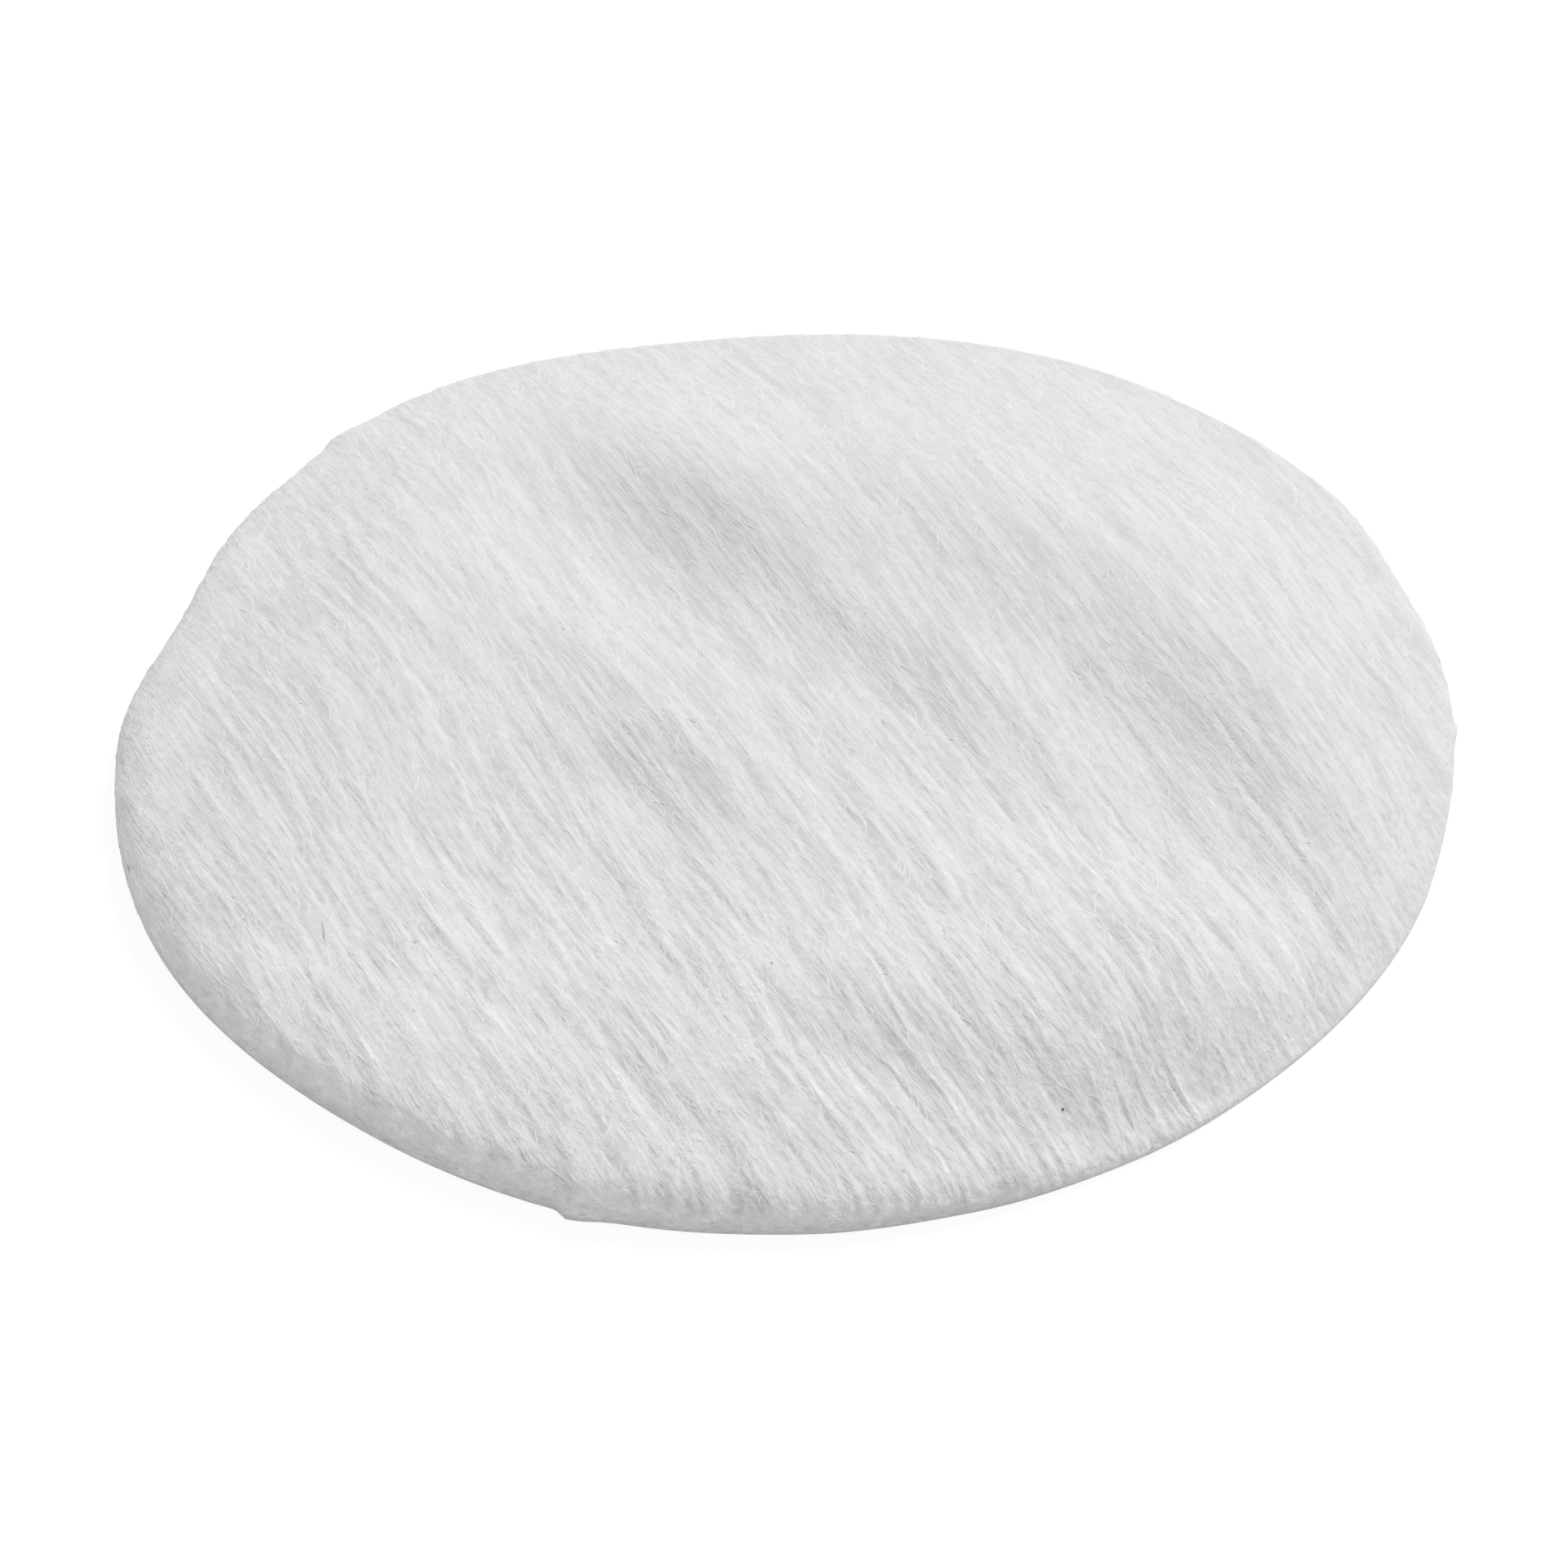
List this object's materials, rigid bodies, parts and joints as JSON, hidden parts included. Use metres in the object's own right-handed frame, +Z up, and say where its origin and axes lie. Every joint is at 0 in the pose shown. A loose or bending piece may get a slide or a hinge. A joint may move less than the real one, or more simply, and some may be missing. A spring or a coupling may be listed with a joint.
{
  "type": "cotton pad",
  "caption": "Soft round pad cut from one combed cotton web, with an uneven top, a puffed edge on one side and a thin one on the other, for wiping and applying lotion.",
  "frame": {"origin": "on the table, under the middle of the pad's box", "axes": "+Z up through the thickness, +Y towards the thin back edge, +X to the right as the pad is seen from the front"},
  "size_m": [0.0568, 0.0568, 0.0033],
  "materials": {
    "cotton": "matt combed fibre"
  },
  "bodies": {
    "root": {"cotton_pad": "cotton"}
  },
  "joints": []
}
